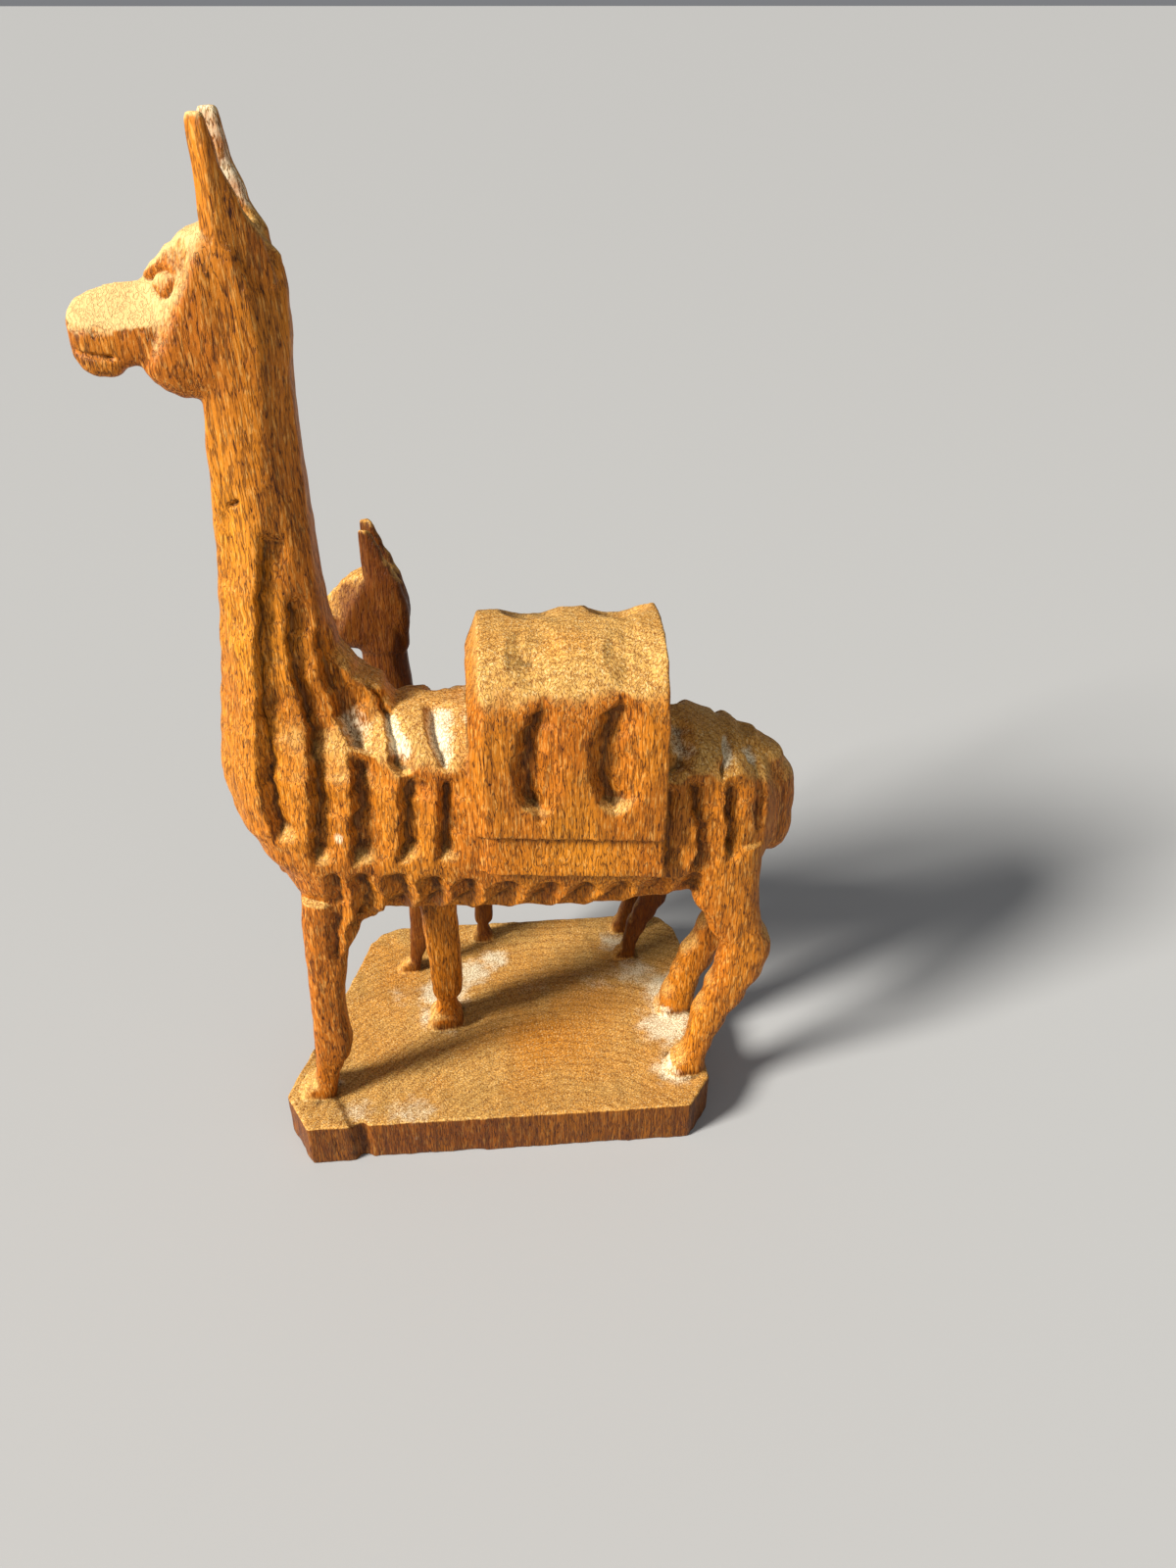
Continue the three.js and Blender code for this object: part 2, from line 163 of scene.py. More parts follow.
legs = {
    "roundness": 3.2,
    # height, front x, back x, distance of the middle from the animal's middle, half thickness
    "frontNear": [
        (68, -40, -24, 9, 5), (60, -40.6, -28.6, 9.4, 4.4), (52, -41, -32, 9.7, 4.1), (34, -41.8, -34.3, 10, 3.7),
        (24, -42.4, -34.6, 10, 3.7), (20.5, -42.7, -36.4, 10, 3.2), (16.5, -43.4, -38, 10, 3.1),
        (13.4, -46.6, -38.8, 10.2, 3.7), (9, -48.4, -39.6, 10.2, 4),
    ],
    "frontFar": [
        (68, -24, -6, -9.5, 5), (60, -20.4, -8, -9.8, 4.6), (42, -17.6, -9.4, -10.3, 3.8),
        (26, -16.9, -9.4, -10.4, 3.7), (22, -16.8, -9.6, -10.4, 3.6), (18, -15.9, -11.4, -10.4, 2.9),
        (15.4, -16.4, -11, -10.4, 3.2), (13, -18, -10.2, -10.4, 3.9), (9, -18.8, -10, -10.4, 4.1),
    ],
    "hindNear": [
        (76, 38, 56, 7.2, 6.2), (64, 41, 56, 8.2, 5.4), (55, 45, 57, 9, 4.8), (48, 48.4, 59.4, 9.6, 4.2),
        (42, 47.6, 58.4, 9.9, 3.9), (35, 45.6, 55, 10, 3.7), (27, 43, 51, 10, 3.4), (20, 42.2, 48.4, 10, 3.2),
        (16, 41, 47, 10, 3.4), (13, 38.6, 46.8, 10, 3.8), (9, 37.2, 47, 10, 4),
    ],
    "hindFar": [
        (76, 36, 57, -7.5, 6.2), (64, 41, 58, -8.6, 5.6), (50, 48, 60.6, -10, 4.4), (42, 49.4, 59.6, -10.2, 4),
        (35, 47, 56, -10.4, 3.7), (27, 43.4, 51.8, -10.4, 3.5), (20, 41.4, 48.6, -10.4, 3.5),
        (14, 39.2, 47.4, -10.4, 4), (9, 37.4, 47.2, -10.4, 4.2),
    ],
}


def trunkPoint(x, turn):
    # Superellipse across X; turn 0 is the far flank, a quarter turn the back, a half turn the near flank
    top, bottom, half = np.moveaxis(readStations(trunk["stations"], x), -1, 0)
    across, up = squircle(turn, trunk["roundness"])
    return np.stack([x + 0 * turn, middle + half * across, (top + bottom) / 2 + (top - bottom) / 2 * up], -1)


def neckPoint(height, turn):
    # Superellipse across Z; turn 0 is the front, a quarter turn the near side
    front, back, half, roundness = np.moveaxis(readStations(neck["stations"], height), -1, 0)
    along, across = squircle(turn, roundness)
    return np.stack([(front + back) / 2 + (front - back) / 2 * along, middle - half * across, height + 0 * turn], -1)


def uprightGrid(form, offset, rings, sides):
    # Superellipse rings across Z between a front and a back x, at a distance from the middle
    stations = form["stations"]
    heights = np.linspace(min(stations)[0], max(stations)[0], rings)[:, None]
    turns = np.linspace(0, 2 * np.pi, sides, endpoint=False)[None]
    columns = np.moveaxis(readStations(stations, heights), -1, 0)
    front, back, half = columns[0], columns[1], columns[-1]
    place = columns[2] if len(columns) > 3 else offset
    along, across = squircle(turns, form["roundness"])
    grid = [(front + back) / 2 + (front - back) / 2 * along, middle - place - half * across, heights + 0 * turns]
    return np.stack(np.broadcast_arrays(*grid), -1)


def pared(points, spot, facing, softness=0.15):
    # What stands proud of a plane is pushed back to it, with a soft run-in at its border
    facing = np.array(facing, float)
    facing /= np.linalg.norm(facing)
    proud = (points - np.array(spot)) @ facing
    reach = np.sqrt(proud ** 2 + softness ** 2)
    return points - ((proud + reach) / 2)[..., None] * facing


def bothSides(spot, facing):
    # A facet's point and direction, given outwards from the middle, for the near and the far side
    for side in (-1, 1):
        yield (spot[0], middle + side * spot[1], spot[2]), (facing[0], side * facing[1], facing[2])


def trunkSkin():
    ends = [row[0] for row in trunk["stations"]]
    x = np.linspace(ends[0], ends[-1], 200)[:, None]
    turns = np.linspace(0, 2 * np.pi, 160, endpoint=False)[None]
    return trunkPoint(x, turns)


def neckSkin():
    ends = [row[0] for row in neck["stations"]]
    height = np.linspace(ends[0], ends[-1], 260)[:, None]
    turns = np.linspace(0, 2 * np.pi, 128, endpoint=False)[None]
    grid = neckPoint(height, turns)
    for (along, outward), starts in neck["facets"]:
        start = readStations(starts, np.clip(height[:, 0], starts[0][0], starts[-1][0]))
        for side in (-1, 1):
            proud = (grid[..., 0] - start[:, None, 0]) * along
            proud += (grid[..., 1] - middle - side * start[:, None, 1]) * side * outward
            proud = np.maximum(proud, 0) * smoothstep(starts[0][0] - 4, starts[0][0] + 8, height)
            grid[..., 0] -= proud * along
            grid[..., 1] -= proud * side * outward
    return grid


def facetedSkin(form):
    # Superellipse rings across X, with the form's facets pared off both sides
    ends = [row[0] for row in form["stations"]]
    x = np.linspace(ends[0], ends[-1], 120)[:, None]
    turns = np.linspace(0, 2 * np.pi, 120, endpoint=False)[None]
    top, bottom, half = np.moveaxis(readStations(form["stations"], x), -1, 0)
    across, up = squircle(turns, form["roundness"])
    grid = np.stack([x + 0 * turns, middle + half * across, (top + bottom) / 2 + (top - bottom) / 2 * up], -1)
    for spot, facing in form["facets"]:
        for place in bothSides(spot, facing):
            grid = pared(grid, *place)
    return grid


def earSkin(side):
    # A tall wedge: superellipse rings across Z whose outer face keeps its distance from the middle
    stations = ear["stations"]
    height = np.linspace(stations[0][0], stations[-1][0], 90)[:, None]
    turns = np.linspace(0, 2 * np.pi, 48, endpoint=False)[None]
    front, back, outer, thick = np.moveaxis(readStations(stations, height), -1, 0)
    along, across = squircle(turns, ear["roundness"])
    y = middle + side * (outer - thick / 2) + thick / 2 * across
    grid = np.stack([(front + back) / 2 + (front - back) / 2 * along, y, height + 0 * turns], -1)
    for spot, facing in ear["facets"]:
        grid = pared(grid, (spot[0], middle + side * spot[1], 0), (facing[0], side * facing[1], 0), 0.1)
    return grid


def animalSkins():
    grids = [trunkSkin(), neckSkin(), facetedSkin(skull), facetedSkin(muzzle), earSkin(1), earSkin(-1)]
    grids.append(uprightGrid(tail, 0, 60, 64))
    for name in ("frontNear", "frontFar", "hindNear", "hindFar"):
        grids.append(uprightGrid({"stations": legs[name], "roundness": legs["roundness"]}, 0, 120, 56))
    return grids


young = {
    "middle": 23.5,
    "lengthScale": 0.655,
    "widthScale": 0.5,
    "heightScale": 0.6,
    "forward": 4.6,
    "leanFrom": 66,
    "lean": 0.045,
    "headFrom": 168,
    "headCentre": (-37, 196),
    "headGrowth": 1.14,
    "divide": 9.8,
}


youngEar = {
    "roundness": 3,
    # height, front x, back x, distance from the young one's middle, half thickness
    "stations": [
        (98, -21.6, -18, 0.8, 1), (104, -22.6, -16.4, 1.6, 1.4), (111, -23.2, -15.8, 2.5, 1.5),
        (117, -23.8, -17, 2.8, 1.3), (121, -24, -18.7, 2.8, 1.1), (124.8, -23.9, -20.4, 2.8, 0.9),
        (128, -23.5, -21.7, 2.8, 0.8), (129.6, -23.1, -22.3, 2.8, 0.6),
    ],
}


def youngEarSkins():
    # Broad wedges that run down into the back of the head, one on each side
    for side in (-1, 1):
        grid = uprightGrid(youngEar, 0, 60, 40)
        grid[..., 1] = young["middle"] + side * (middle - grid[..., 1])
        yield grid


def toYoung(points):
    # The adult's form made smaller, with a leaning neck and a larger head
    x, y, z = np.moveaxis(points, -1, 0)
    grown = smoothstep(young["headFrom"] - 8, young["headFrom"], z) * (young["headGrowth"] - 1)
    headX, headZ = young["headCentre"]
    x = x + (x - headX) * grown - np.maximum(0, z - young["leanFrom"]) * young["lean"]
    z = z + (z - headZ) * grown
    return np.stack([
        young["forward"] + x * young["lengthScale"],
        young["middle"] + (y - middle) * young["widthScale"] * (1 + grown),
        baseTop + (z - baseTop) * young["heightScale"],
    ], -1)


pack = {
    "front": -3.6,
    "back": 34.1,
    "halfWidth": 17.6,
    "crown": 123.4,
    "spring": 103,
    "roundness": 2.5,
    "overhang": 85.6,
    "overhangDrop": 3.4,  # the lower edges fall this much from the pack's front to its back
    "bandTop": 15,
    "bandFoot": 16.9,
    "bandBottom": 76,
    "frontBevel": 2.6,
    "frontShrink": 0.86,
}

base = {
    "plan": [
        (-44.7, -34), (-35.4, -34), (-34.2, -32.6), (-32.6, -32), (-31, -33.2), (41.6, -34), (47.2, -26), (46.8, -4),
        (48, 20.3), (47, 27.5), (43.4, 32.6), (38, 34), (-27, 34), (-31.5, 32.2), (-34.6, 28.8), (-39.2, 13.1),
        (-46.2, -10.6), (-50.4, -23.6),
    ],
    # x and y of the crest between the two hollows of the top
    "crest": [(-60, 5), (-38.7, 6.7), (-18.3, 6.9), (-9.9, 7.2), (14.7, 8.9), (33.8, 7.6), (44.1, 3.4), (60, -4)],
    "hollow": 0.9,
    "blockCorner": (-39.2, -24.6),
    "blockFacing": (0.93, 0.38),
    "blockRise": 0.7,
}


def packSkins():
    # Prisms along X: an arch of a superellipse on straight sides, and the narrower band under it
    turns = np.linspace(0, np.pi, 160)
    across, up = squircle(turns, pack["roundness"])
    arch = np.stack([pack["halfWidth"] * across, pack["spring"] + (pack["crown"] - pack["spring"]) * up], -1)
    sideZ = np.linspace(pack["overhang"], pack["spring"], 40, endpoint=False)
    right = np.stack([np.full(40, pack["halfWidth"]), sideZ], -1)
    left = right[::-1] * (-1, 1)
    floorY = np.linspace(-pack["halfWidth"], pack["halfWidth"], 60)[1:-1]
    floor = np.stack([floorY, np.full(58, pack["overhang"])], -1)
    block = np.concatenate([right, arch, left, floor])
    corners = np.array([
        (pack["bandFoot"], pack["bandBottom"]), (pack["bandTop"], pack["overhang"] + 2), (pack["bandTop"], pack["spring"]),
        (-pack["bandTop"], pack["spring"]), (-pack["bandTop"], pack["overhang"] + 2), (-pack["bandFoot"], pack["bandBottom"]),
        (pack["bandFoot"], pack["bandBottom"]),
    ])
    walk = np.linspace(0, 6, 300, endpoint=False)
    band = np.stack([np.interp(walk, np.arange(7), corners[:, 0]), np.interp(walk, np.arange(7), corners[:, 1])], -1)
    places = np.array([pack["front"], pack["front"] + pack["frontBevel"], pack["back"]])
    skins = []
    for outline in (block, band):
        x = np.concatenate([np.linspace(places[0], places[1], 8, endpoint=False), np.linspace(places[1], places[2], 90)])
        shrink = np.interp(x, places, [pack["frontShrink"], 1, 1])[:, None]
        z = pack["bandBottom"] + (outline[None, :, 1] - pack["bandBottom"]) * shrink
        drop = pack["overhangDrop"] * (x[:, None] - pack["front"]) / (pack["back"] - pack["front"])
        z = z - drop * smoothstep(pack["spring"], pack["overhang"] + 4, z)
        y = middle + outline[None, :, 0] * shrink
        skins.append(np.stack(np.broadcast_arrays(x[:, None], y, z), -1))
    return skins


def baseRelief(x, y):
    # Height over the base's flat top: two hollows that meet in a crest, and a block under the near front foot
    crest = readStations(base["crest"], np.clip(x, -59, 59))[..., 0]
    away = np.abs(y - crest)
    hollow = base["hollow"] * (1 - np.exp(-away / 5)) * smoothstep(34, 22, np.abs(y)) * smoothstep(48, 38, np.abs(x))
    spot, facing = base["blockCorner"], base["blockFacing"]
    beyond = (x - spot[0]) * facing[0] + (y - spot[1]) * facing[1]
    block = base["blockRise"] * smoothstep(0.5, -0.3, beyond)
    return block - hollow


def baseSkin():
    # Rings of the plan's outline: out across the underside, up the edge and in across the top
    plan = np.array(base["plan"] + base["plan"][:1], float)
    steps = np.concatenate([[0], np.cumsum(np.linalg.norm(np.diff(plan, axis=0), axis=1))])
    walk = np.linspace(0, steps[-1], 900, endpoint=False)
    outline = np.stack([np.interp(walk, steps, plan[:, 0]), np.interp(walk, steps, plan[:, 1])], -1)
    scale = np.concatenate([np.linspace(0.02, 1, 20, endpoint=False), np.ones(28), np.linspace(1, 0.02, 110)[1:]])
    z = np.concatenate([np.zeros(20), np.linspace(0, baseTop, 28), np.full(109, baseTop)])
    xy = outline[None] * scale[:, None, None]
    relief = baseRelief(xy[..., 0], xy[..., 1]) * smoothstep(4, baseTop, z)[:, None]
    return np.concatenate([xy, (z[:, None] + relief)[..., None]], -1)


def joinedMesh(grids, voxel):
    # All closed skins as one mesh, then one skin round the lot with even faces of the voxel's size
    points, faces, count = [], [], 0
    for grid in grids:
        some, quads = skin(grid)
        points.append(some)
        faces += [[corner + count for corner in face] for face in quads]
        count += len(some)
    mesh = bpy.data.meshes.new("rough_block")
    mesh.from_pydata(np.concatenate(points).tolist(), [], faces)
    block = bpy.data.objects.new("rough_block", mesh)
    bpy.context.scene.collection.objects.link(block)
    remesh = block.modifiers.new("one skin", "REMESH")
    remesh.mode = "VOXEL"
    remesh.voxel_size = voxel
    return appliedMesh(block)


def appliedMesh(piece):
    # The mesh of a piece with its modifiers applied; the piece itself is taken away
    depsgraph = bpy.context.evaluated_depsgraph_get()
    mesh = bpy.data.meshes.new_from_object(piece.evaluated_get(depsgraph))
    bpy.data.objects.remove(piece)
    return mesh


def readPoints(mesh):
    points = np.empty(len(mesh.vertices) * 3)
    mesh.vertices.foreach_get("co", points)
    return points.reshape(-1, 3)


def readEdges(mesh):
    edges = np.empty(len(mesh.edges) * 2, int)
    mesh.edges.foreach_get("vertices", edges)
    return edges.reshape(-1, 2)


def neighbourMean(values, edges):
    # Mean of the neighbours' values at each vertex, column by column
    count = len(values)
    degree = np.maximum(np.bincount(edges.ravel(), minlength=count), 1)
    columns = []
    for column in values.T:
        total = np.bincount(edges[:, 0], column[edges[:, 1]], count)
        total += np.bincount(edges[:, 1], column[edges[:, 0]], count)
        columns.append(total / degree)
    return np.stack(columns, -1)


def smoothed(values, edges, rounds, amount=0.5):
    for _ in range(rounds):
        values = values + amount * (neighbourMean(values, edges) - values)
    return values


def vertexNormals(mesh):
    mesh.update()
    normals = np.empty(len(mesh.vertices) * 3)
    mesh.vertices.foreach_get("normal", normals)
    return normals.reshape(-1, 3)


lookFrom = {
    # where a stroke's side view is seen from: start in y and way along y
    "near": (-100, 1),
    "far": (11.5, -1),
}
strokeSteps = 70


def laidOn(block, look, stations):
    # A smooth line through side-view points, thrown sideways onto the surface: points, normals and widths
    numbered = [(number, *station) for number, station in enumerate(stations)]
    line = readStations(numbered, np.linspace(0, len(stations) - 1, strokeSteps))
    start, way = lookFrom[look]
    points, normals, widths = [], [], []
    for x, z, width in line:
        found, place, normal, _ = block.ray_cast((x, start, z), (0, way, 0))
        if found and abs(place[1] - start) < 130:
            points.append(place)
            normals.append(normal)
            widths.append(width)
    return np.array(points), np.array(normals), np.array(widths)


def runningMean(values, reach):
    # Each row averaged with its neighbours, the ends repeated
    padded = np.concatenate([values[:1].repeat(reach, 0), values, values[-1:].repeat(reach, 0)])
    return np.mean([padded[shift:shift + len(values)] for shift in range(2 * reach + 1)], 0)


def strokeDepth(points, normals, block, look, stroke, number):
    # Depth of a gouge stroke at each point: a parabola across whose lowest line lies off centre,
    # times a rise and fall along the stroke that is blunt at both ends
    path, facing, widths = laidOn(block, look, stroke["line"])
    depths = np.zeros(len(points))
    if len(path) < 4:
        return depths
    path, facing = runningMean(path, 3), runningMean(facing, 6)
    facing /= np.linalg.norm(facing, axis=1)[:, None]
    along = np.gradient(path, axis=0)
    along /= np.linalg.norm(along, axis=1)[:, None]
    reach = widths.max()
    near = np.nonzero(np.all((points > path.min(0) - reach) & (points < path.max(0) + reach), 1))[0]
    nearest = np.argmin(((points[near][:, None] - path[None]) ** 2).sum(-1), 1)
    away = points[near] - path[nearest]
    step = (away * along[nearest]).sum(1)
    across = np.cross(along[nearest], normals[near])
    aside = (away * across).sum(1)
    proud = (away * facing[nearest]).sum(1)
    lengths = np.concatenate([[0], np.cumsum(np.linalg.norm(np.diff(path, axis=0), axis=1))])
    part = (lengths[nearest] + step) / lengths[-1]
    swing = np.sin(part * 6 + number * 5) + 0.5 * np.sin(part * 15 + number * 11) + 0.3 * np.sin(part * 34 + number)
    end = np.abs(2 * part - 1)
    bite = np.clip(1 - np.clip(end, 0, 1) ** 4, 0, 1) ** 0.7
    half = widths[nearest] / 2 * (0.55 + 0.45 * bite)
    skew = -0.2
    u = aside / half - 0.08 * swing
    parabola = 1 - np.abs((u - skew) / np.where(u < skew, -1 - skew, 1 - skew)) ** 1.8
    depth = stroke["depth"] * parabola * bite * (1 + 0.15 * swing)
    facingSame = (normals[near] * facing[nearest]).sum(1) > 0.25
    good = (np.abs(u) < 1) & (end < 1) & (np.abs(proud) < reach) & facingSame
    depths[near[good]] = np.maximum(depth[good], 0)
    return depths


def dishDepth(points, normals, spot, facing, along, sizes, depth, lean):
    # An oval dish: one less the squared distance over its half sizes, to a power below one so its rim is steep,
    # and deeper on the side that it leans to
    facing = np.array(facing, float)
    facing /= np.linalg.norm(facing)
    along = np.array(along, float)
    along -= (along @ facing) * facing
    along /= np.linalg.norm(along)
    across = np.cross(facing, along)
    away = points - np.array(spot)
    u, v = away @ across / sizes[0], away @ along / sizes[1]
    bowl = np.clip(1 - u * u - v * v, 0, 1) ** 0.75
    same = (np.abs(away @ facing) < max(sizes) / 2) & (normals @ facing > 0.2)
    return depth * bowl * (1 - lean * across[0] * u) * same


channels = {
    # side view: height, then the x of each ridge from the chest backwards. Between two ridges the cut drops
    # steeply behind the first, is deepest at the valley and climbs gently to the next
    "neck": {
        "rows": [
            (152, -45.2, -36.4, -32.4, -30.6), (142, -46, -37.7, -32.5, -29.9), (131.4, -47.6, -39.6, -34.4, -30),
            (121, -49.4, -41.2, -35.4, -30.4), (115.8, -50.2, -41.8, -35, -30.2), (109, -51.4, -42.7, -33.9, -28.5),
            (103.2, -52.2, -43.3, -33.9, -26.9), (98.2, -52.6, -43.9, -34.3, -26.5), (91, -52.4, -43.6, -34.9, -27.2),
            (86, -51, -43, -35.8, -27.8), (78, -48, -42.6, -36.4, -28.8),
        ],
        "depths": [1, 3, 2.9],
        "valley": 0.24,
        "spans": [(150, 84), (146, 83), (134, 78)],
    },
    "scoopA": {
        "rows": [(128, -30.2, -28), (121.5, -30.4, -25.8), (115.8, -30, -23.4), (109, -28.5, -20.4),
                 (104, -26.6, -19.2), (102, -24, -19.6), (100.4, -21.8, -20.6)],
        "depths": [2.3],
        "valley": 0.3,
        "spans": [(128, 99)],
    },
    "scoopB": {
        "rows": [(118, -25.4, -24), (113.5, -22.6, -20.4), (109.6, -20.5, -18.2), (105.7, -19.4, -15.1),
                 (101.8, -19, -13.6), (98.6, -17.6, -13.6), (97.2, -15.4, -14.4)],
        "depths": [2.2],
        "valley": 0.28,
        "spans": [(120, 95.4)],
    },
    "scoopC": {
        "rows": [(108.6, -12.6, -5.2), (105, -11.5, -5.8), (102.3, -10.8, -6.3), (100, -9.6, -6.5), (97.6, -7.4, -6.8)],
        "depths": [2.2],
        "valley": 0.28,
        "spans": [(114, 95.4)],
    },
    "flank": {
        "rows": [(103, -27, -18.8, -9.6, -3.6), (98, -26.5, -18, -10.1, -3.6), (92, -27, -17.9, -10.3, -3.6),
                 (86, -27.8, -18.4, -11.1, -3.6), (77, -28.8, -19.6, -12.2, -3.6)],
        "depths": [2.8, 2.7, 2.5],
        "valley": 0.24,
        "spans": [(103.5, 77), (99, 77), (98.6, 77)],
    },
    "rumpScoopA": {
        "rows": [(103, 34.2, 39), (101, 34.2, 41), (99.4, 34.2, 41.7), (97, 34.2, 40.6), (94.6, 34.2, 37.4)],
        "depths": [2.4],
        "valley": 0.6,
        "spans": [(109, 91.4)],
    },
    "rumpScoopB": {
        "rows": [(99.4, 46.6, 49), (97, 45.9, 48.7), (95.1, 45.3, 48.1), (92.8, 45.8, 46.6)],
        "depths": [1.5],
        "valley": 0.3,
        "spans": [(102, 89)],
    },
    "rumpScoopC": {
        "rows": [(98.6, 48.8, 49.6), (97, 49.8, 51.7), (95, 51.2, 53.7), (92.6, 53, 54.4)],
        "depths": [1.4],
        "valley": 0.35,
        "spans": [(101, 89)],
    },
    "rump": {
        "rows": [(94.4, 34.2, 37.7, 46.3, 52.8, 56), (87.6, 34.2, 39.3, 46.2, 53, 56.3), (80, 34.2, 40.8, 46.9, 53, 56.3),
                 (70, 34.2, 39.8, 46.6, 51.4, 54.4), (66, 34.2, 39.2, 45.8, 50.6, 53)],
        "depths": [2, 2.8, 2.7, 2],
        "valley": 0.2,
        "spans": [(94.6, 70), (94.6, 69), (93.4, 72), (91.4, 78)],
    },
    "belly": {
        "rows": [(76, -34.2, -29.8, -23.3, -16.4, -9.1, -2.7, 5.8, 13.8, 21.3, 28.3, 36.4, 43),
                 (68, -34.7, -29.3, -22.9, -15.9, -9.2, -2.3, 6.4, 14.4, 22, 29.3, 37.4, 44),
                 (58, -35.6, -31.8, -25.6, -19, -12.4, -6, 1.8, 10.2, 18.2, 26, 34, 40.6)],
        "depths": [1.6, 2.4, 2.6, 2.6, 2.7, 2.8, 2.8, 2.8, 2.7, 2.6, 2],
        "valley": 0.6,
        "spans": [(77.6, 50), (77, 50), (76.2, 50), (75.2, 50), (73.8, 50), (72.6, 50), (71.9, 50), (71.2, 50),
                  (70.9, 50), (71, 50), (71.6, 55)],
    },
    "packOvals": {
        "rows": [(114.2, 9.8, 12.2, 24, 27.2), (111, 7, 14, 21, 29.6), (106, 4.9, 14.6, 18.9, 30.6),
                 (100, 4.1, 14.7, 18.6, 31.2), (94, 5.3, 14, 19.8, 29.8), (89.2, 8.6, 11, 23.4, 26.4)],
        "depths": [3.1, 0, 3.3],
        "valley": 0.3,
        "spans": [(116, 87), (114, 89), (116, 87.4)],
    },
}
channelSlope = 0.42  # a narrow cut is no deeper than this part of its width
strokes = {
    # side view: x, z and width along the middle of each stroke, and its depth
    "face": [
        {"depth": 0.75, "line": [(-51, 184.6, 1), (-49.6, 184.8, 1.3), (-48.4, 185, 1.2), (-47.4, 186, 1),
                                 (-45.4, 186.3, 1), (-44.2, 185.8, 0.9)]},
        {"depth": 0.8, "line": [(-44.2, 185.9, 0.9), (-44.7, 184.2, 1.2), (-46, 182.9, 1.3), (-47.2, 182.3, 0.8)]},
        {"depth": 0.35, "line": [(-48.9, 184.4, 0.8), (-47.8, 183.2, 1), (-46.8, 182.6, 0.8)]},
        {"depth": 0.8, "line": [(-62.2, 175.4, 0.9), (-60.6, 174.7, 1.1), (-58, 174.2, 1.2), (-56, 174.1, 1.2),
                                (-54.6, 173.8, 0.9)]},
        {"depth": 0.6, "line": [(-61.6, 179.4, 0.8), (-60.8, 178.4, 1.3), (-59.6, 178.2, 0.8)]},
    ],
    "neck": [
        {"depth": 0.6, "line": [(-41.9, 149.8, 1.2), (-40.6, 150, 1.4), (-39.4, 151, 1)]},
        {"depth": 0.45, "line": [(-43, 146, 1), (-43.6, 142, 1.3), (-43.9, 137.6, 1)]},
    ],
}


def channelDepths(x, z, group):
    # Steep from the first ridge to the valley as a sine, then back to the next ridge as a falling power
    rows = sorted(group["rows"])
    ridges = readStations(rows, np.clip(z, rows[0][0], rows[-1][0]))
    ridges = ridges + (0.22 * np.sin(z * 0.9 + x * 0.2) + 0.12 * np.sin(z * 2.3))[:, None]
    depths = np.zeros(len(x))
    valley = group["valley"]
    for number, (deep, (top, bottom)) in enumerate(zip(group["depths"], group["spans"])):
        front, width = ridges[:, number], ridges[:, number + 1] - ridges[:, number]
        part = np.clip((x - front) / np.maximum(width, 0.01), 0, 1)
        falling = np.sin(np.clip(part / valley, 0, 1) * np.pi / 2)
        rising = 1 - np.clip((part - valley) / (1 - valley), 0, 1)
        rise = np.minimum(falling, rising ** 1.25)
        arch = 2.4 * (2 * part - 1) ** 2
        ends = smoothstep(top - arch * 0.3, top - 3.2 - arch, z) * smoothstep(bottom, bottom + 5, z)
        reach = np.minimum(deep, channelSlope * width) * rise * ends
        depths = np.maximum(depths, np.where((part > 0) & (part < 1), reach, 0))
    return depths


def fromYoung(points):
    # The young one's points carried back to the adult's place and size
    x, y, z = np.moveaxis(points, -1, 0)
    z = baseTop + (z - baseTop) / young["heightScale"]
    x = (x - young["forward"] + np.maximum(0, z - young["leanFrom"]) * young["lean"]) / young["lengthScale"]
    return np.stack([x, middle + (y - young["middle"]) / young["widthScale"], z], -1)


def woolDepths(points, normals, block):
    # The deepest of all cuts at each point, so that neighbours meet in a crisp ridge
    isYoung = (points[:, 1] > young["divide"]) & (points[:, 2] > baseTop + 1)
    places = np.where(isYoung[:, None], fromYoung(points), points)
    x, y, z = places.T
    aside = np.abs(y - middle)
    sideways = smoothstep(0.06, 0.3, np.abs(normals[:, 1]))
    onPack = (x > pack["front"]) & (x < pack["back"]) & (z > pack["bandBottom"] - pack["overhangDrop"]) & ~isYoung
    depths = np.zeros(len(points))
    for name, group in channels.items():
        cuts = channelDepths(x, z, group) * sideways
        if name == "packOvals":
            cuts = np.where(onPack & (aside > pack["halfWidth"] - 3), cuts, 0)
        elif name == "belly":
            cuts = cuts * smoothstep(6, 10, aside) * ~onPack
        else:
            cuts = np.where(onPack, 0, cuts)
        depths = np.maximum(depths, cuts)
    depths = np.where(isYoung, depths * 0.42, depths)
    for look in ("near", "far"):
        for number, stroke in enumerate(strokes["face"] + strokes["neck"]):
            depths = np.maximum(depths, strokeDepth(points, normals, block, look, stroke, number))
    return depths


dishes = {
    # x, distance from the middle, z, half size along x and up the surface, depth
    "near": [(9.6, 10, 121.4, 5.8, 7.2, 1.1), (28, 10.6, 120.8, 6, 7.2, 1.1)],
    "far": [(9.6, 7.4, 122, 6.4, 7, 2.1), (26.4, 7.4, 122, 6.6, 7.6, 3.4)],
}


def handWork(points, depths):
    # Unevenness left by the knife: waves in many directions, drawn out along the grain, stronger where it cut
    chance = np.random.default_rng(7)
    heights = np.zeros(len(points))
    for _ in range(26):
        length = chance.uniform(1.6, 7)
        way = chance.normal(size=3) * (1, 1, 0.35)
        way /= np.linalg.norm(way)
        heights += np.sin(points @ way * 2 * np.pi / length + chance.uniform(0, 7)) * length ** 0.5
    return heights * (0.008 + 0.014 * smoothstep(0, 0.8, depths))


